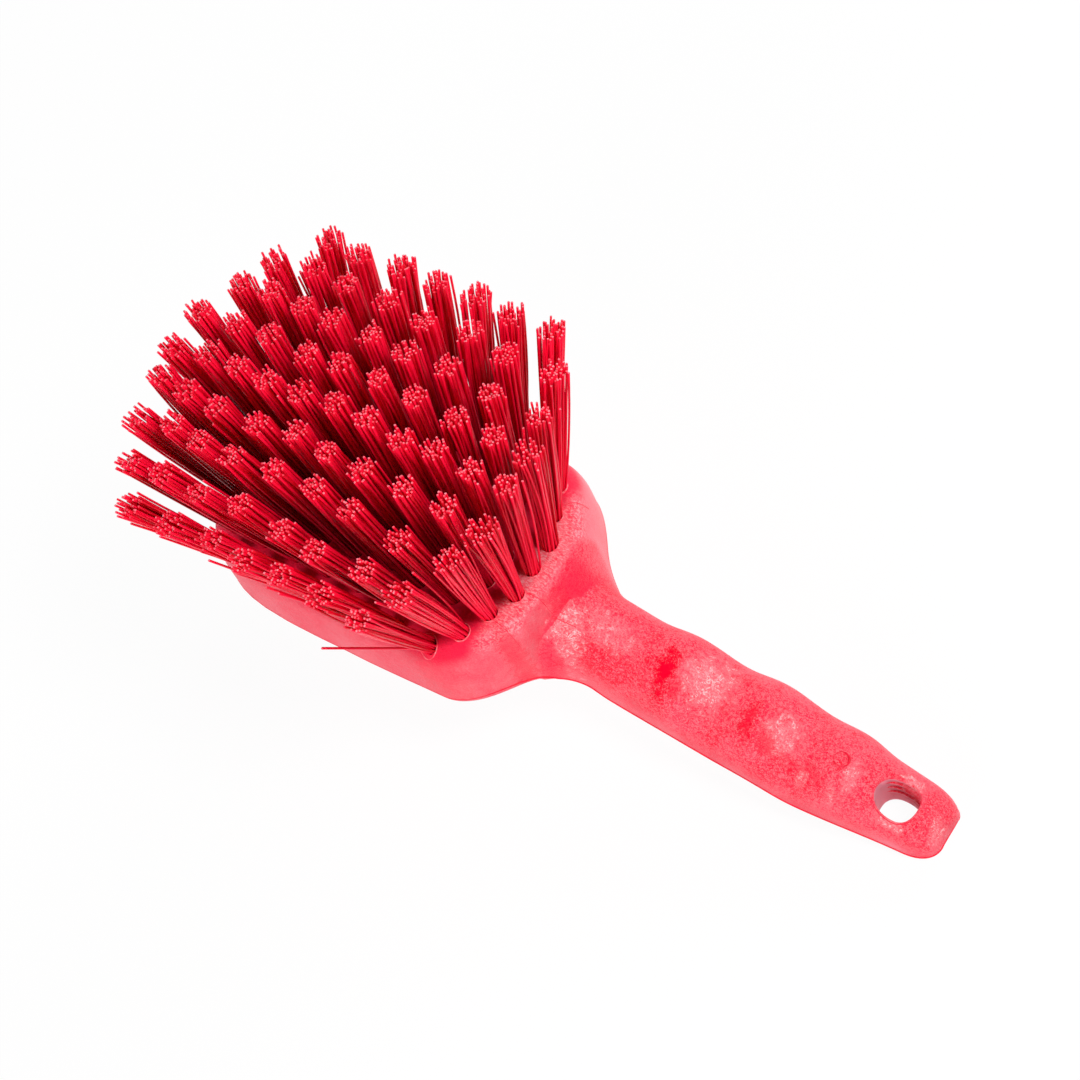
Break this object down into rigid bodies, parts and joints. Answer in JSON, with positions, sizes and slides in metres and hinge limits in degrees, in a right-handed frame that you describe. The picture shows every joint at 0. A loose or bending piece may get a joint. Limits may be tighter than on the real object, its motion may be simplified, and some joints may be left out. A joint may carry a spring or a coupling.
{
  "type": "scrub brush",
  "caption": "Hand scrub brush: a rounded moulded block with a dipping, finger-waved handle and hanging slot, set with staggered rows of stiff fanned bristle tufts.",
  "frame": {"origin": "middle of the flat rest face on the back of the head, under the middle of the tuft field", "axes": "+X from the head along the handle to its hanging slot, +Y across the head, +Z out of the bristle face along the middle tufts"},
  "size_m": [0.2177, 0.0969, 0.1084],
  "materials": {
    "foamed_plastic": "structural foam moulding, pinkish red, fine grain with pale swirls, soft sheen",
    "bristle": "extruded monofilament, deep saturated red, glossy along the strand, cut ends paler",
    "staple_wire": "drawn flat wire, bright"
  },
  "bodies": {
    "root": {"handle_block": "foamed_plastic", "bristle_row_1": "bristle", "bristle_row_2": "bristle", "bristle_row_3": "bristle", "bristle_row_4": "bristle", "bristle_row_5": "bristle", "bristle_row_6": "bristle", "bristle_row_7": "bristle", "bristle_row_8": "bristle", "bristle_row_9": "bristle", "staple_3_1": "staple_wire", "staple_3_2": "staple_wire", "staple_3_3": "staple_wire", "staple_3_4": "staple_wire", "staple_3_5": "staple_wire", "staple_3_6": "staple_wire", "staple_3_7": "staple_wire", "staple_3_8": "staple_wire", "staple_3_9": "staple_wire", "staple_4_1": "staple_wire", "staple_4_2": "staple_wire", "staple_4_3": "staple_wire", "staple_4_4": "staple_wire", "staple_4_5": "staple_wire", "staple_4_6": "staple_wire", "staple_4_7": "staple_wire", "staple_4_8": "staple_wire", "staple_4_9": "staple_wire", "staple_4_10": "staple_wire", "staple_5_1": "staple_wire", "staple_5_2": "staple_wire", "staple_5_3": "staple_wire", "staple_5_4": "staple_wire", "staple_5_5": "staple_wire", "staple_5_6": "staple_wire", "staple_5_7": "staple_wire", "staple_5_8": "staple_wire", "staple_5_9": "staple_wire", "staple_5_10": "staple_wire", "staple_5_11": "staple_wire", "staple_6_1": "staple_wire", "staple_6_2": "staple_wire", "staple_6_3": "staple_wire", "staple_6_4": "staple_wire", "staple_6_5": "staple_wire", "staple_6_6": "staple_wire", "staple_6_7": "staple_wire", "staple_6_8": "staple_wire", "staple_6_9": "staple_wire", "staple_6_10": "staple_wire", "staple_7_1": "staple_wire", "staple_7_2": "staple_wire", "staple_7_3": "staple_wire", "staple_7_4": "staple_wire", "staple_7_5": "staple_wire", "staple_7_6": "staple_wire", "staple_7_7": "staple_wire", "staple_7_8": "staple_wire", "staple_7_9": "staple_wire"}
  },
  "joints": []
}
